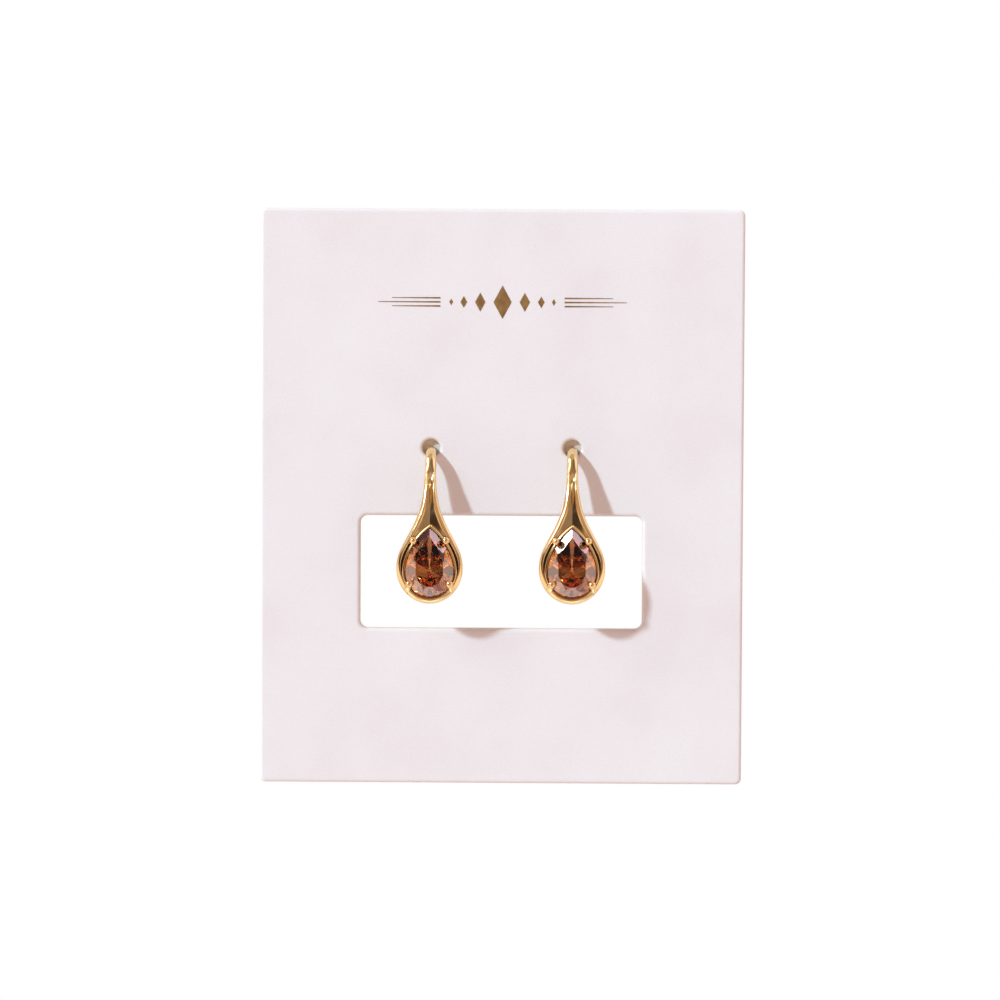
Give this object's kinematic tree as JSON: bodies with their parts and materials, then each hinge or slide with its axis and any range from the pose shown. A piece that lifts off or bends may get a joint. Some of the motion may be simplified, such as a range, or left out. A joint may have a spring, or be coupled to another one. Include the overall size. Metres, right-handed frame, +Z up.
{
  "type": "pair of teardrop earrings on a display card",
  "caption": "Gold teardrop drop earrings with pear-cut champagne stones, hanging by their ear hooks from holes in a thick white display card with a window.",
  "frame": {"origin": "middle of the card's foot, halfway through its thickness", "axes": "+Z up the card, +Y out of the card's back, so the earrings face -Y, and +X to the right"},
  "size_m": [0.05, 0.012, 0.0595],
  "materials": {
    "card_board": "thick uncoated white board with a faint pink tint and a fine paper grain",
    "polished_gold": "warm yellow gold plate, mirror polished",
    "champagne_stone": "clear faceted cubic zirconia, champagne to cognac brown"
  },
  "bodies": {
    "root": {"display_card": "card_board", "left_hook_and_setting": "polished_gold", "left_pear_stone": "champagne_stone", "right_hook_and_setting": "polished_gold", "right_pear_stone": "champagne_stone"}
  },
  "joints": []
}
